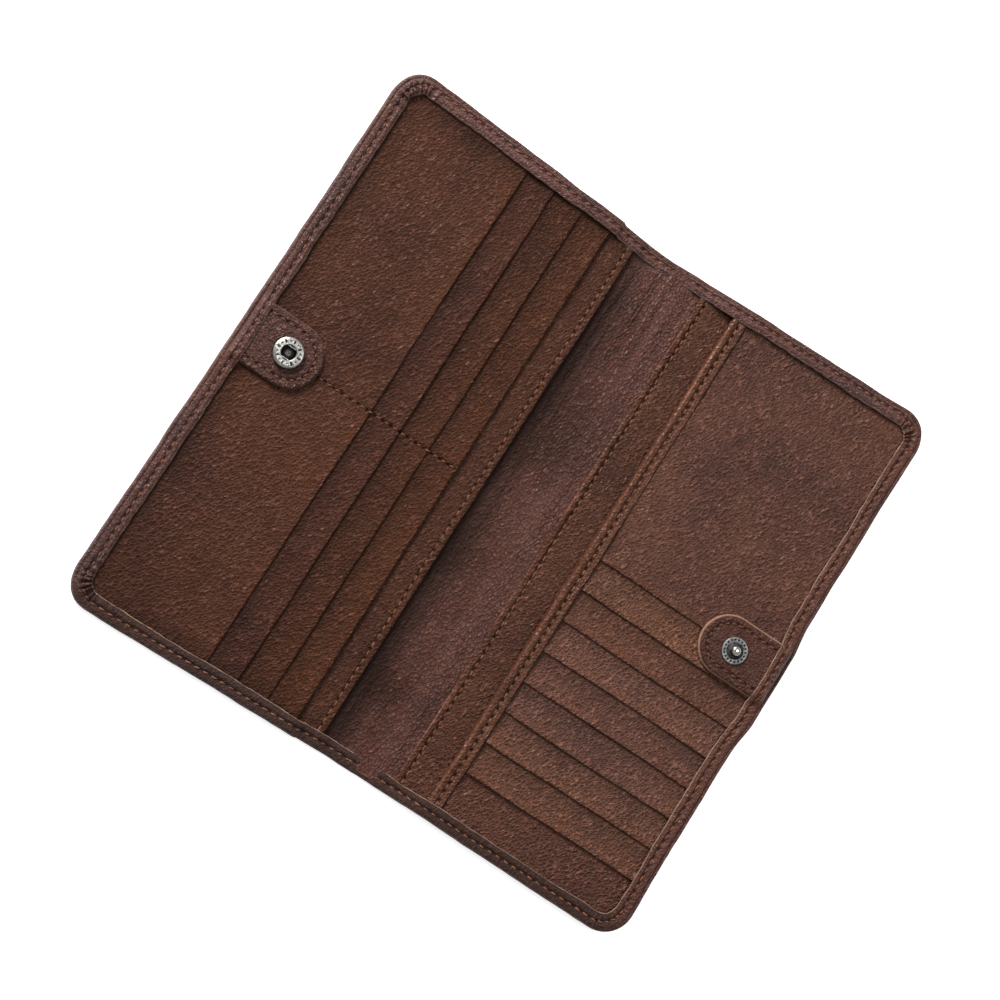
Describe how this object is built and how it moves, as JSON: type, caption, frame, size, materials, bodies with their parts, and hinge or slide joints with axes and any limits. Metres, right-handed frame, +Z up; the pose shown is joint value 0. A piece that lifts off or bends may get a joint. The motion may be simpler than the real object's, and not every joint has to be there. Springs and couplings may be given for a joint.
{
  "type": "long wallet",
  "caption": "Open two-cover long leather wallet with stepped card slots, a bill compartment, a turned stitched hem and two short tabs that close with a metal snap.",
  "frame": {"origin": "on the resting surface, under the middle of the spine of the open wallet", "axes": "+X across the open wallet towards the card slots, +Y along the spine, away from the open ends of the card slots, +Z up out of the pockets"},
  "size_m": [0.2014, 0.19, 0.0101],
  "materials": {
    "shell_leather": "pebbled full-grain cowhide, dark brown, satin",
    "panel_leather": "pebbled full-grain cowhide, mid brown, satin",
    "lining_leather": "soft thin leather, lightly creased",
    "slot_cloth": "thin woven polyester lining, dark brown",
    "stiffener": "plain bonded fibre board, hidden",
    "thread": "waxed orange-brown polyester thread",
    "socket_metal": "bright antique nickel plate",
    "stud_metal": "dark antique nickel plate, polished head",
    "spring_wire": "drawn spring wire"
  },
  "bodies": {
    "right_cover": {"border_thread_right": "thread", "lining_right": "lining_leather", "outer_shell_right": "shell_leather", "right_bill_panel": "panel_leather", "right_bill_thread": "thread", "right_binding_thread": "thread", "right_card_base": "panel_leather", "right_card_binding": "panel_leather", "right_slot_liner_2": "slot_cloth", "right_slot_liner_3": "slot_cloth", "right_slot_liner_4": "slot_cloth", "right_slot_liner_5": "slot_cloth", "right_slot_liner_6": "slot_cloth", "right_slot_liner_7": "slot_cloth", "right_slot_liner_8": "slot_cloth", "right_slot_panel_1": "panel_leather", "right_slot_panel_2": "panel_leather", "right_slot_panel_3": "panel_leather", "right_slot_panel_4": "panel_leather", "right_slot_panel_5": "panel_leather", "right_slot_panel_6": "panel_leather", "right_slot_panel_7": "panel_leather", "right_slot_panel_8": "panel_leather", "right_stiffener_board": "stiffener"},
    "spine": {"outer_shell_spine": "shell_leather", "lining_spine": "lining_leather", "border_thread_spine": "thread"},
    "left_cover": {"border_thread_left": "thread", "left_divider_thread": "thread", "left_pocket_backing": "panel_leather", "left_pocket_thread": "thread", "left_slot_liner_2": "slot_cloth", "left_slot_liner_3": "slot_cloth", "left_slot_liner_4": "slot_cloth", "left_slot_panel_1": "panel_leather", "left_slot_panel_2": "panel_leather", "left_slot_panel_3": "panel_leather", "left_slot_panel_4": "panel_leather", "left_stiffener_board": "stiffener", "lining_left": "lining_leather", "outer_shell_left": "shell_leather"},
    "left_tab": {"left_tab_face": "panel_leather", "left_tab_backing": "panel_leather", "socket_body": "socket_metal", "socket_spring": "spring_wire", "socket_rivet": "socket_metal", "left_tab_thread": "thread"},
    "right_tab": {"right_tab_face": "panel_leather", "right_tab_backing": "panel_leather", "stud_body": "stud_metal", "stud_rivet": "stud_metal", "right_tab_thread": "thread"}
  },
  "joints": [
    {"name": "right_fold", "type": "hinge", "parent": "right_cover", "child": "spine", "pos_m": [0.00813, 0, 0.0012], "axis": [0, 1, 0], "range_deg": [0, 90]},
    {"name": "left_fold", "type": "hinge", "parent": "spine", "child": "left_cover", "pos_m": [-0.00813, 0, 0.0012], "axis": [0, 1, 0], "range_deg": [0, 90]},
    {"name": "left_tab_lift", "type": "hinge", "parent": "left_cover", "child": "left_tab", "pos_m": [-0.09485, 0.0012, 0.0046], "axis": [0, -1, 0], "range_deg": [0, 6]},
    {"name": "right_tab_lift", "type": "hinge", "parent": "right_cover", "child": "right_tab", "pos_m": [0.09485, 0.0015, 0.00635], "axis": [0, 1, 0], "range_deg": [0, 6]}
  ],
  "couplings": [
    {"joint": "left_fold", "follows": "right_fold", "ratio": 1}
  ]
}
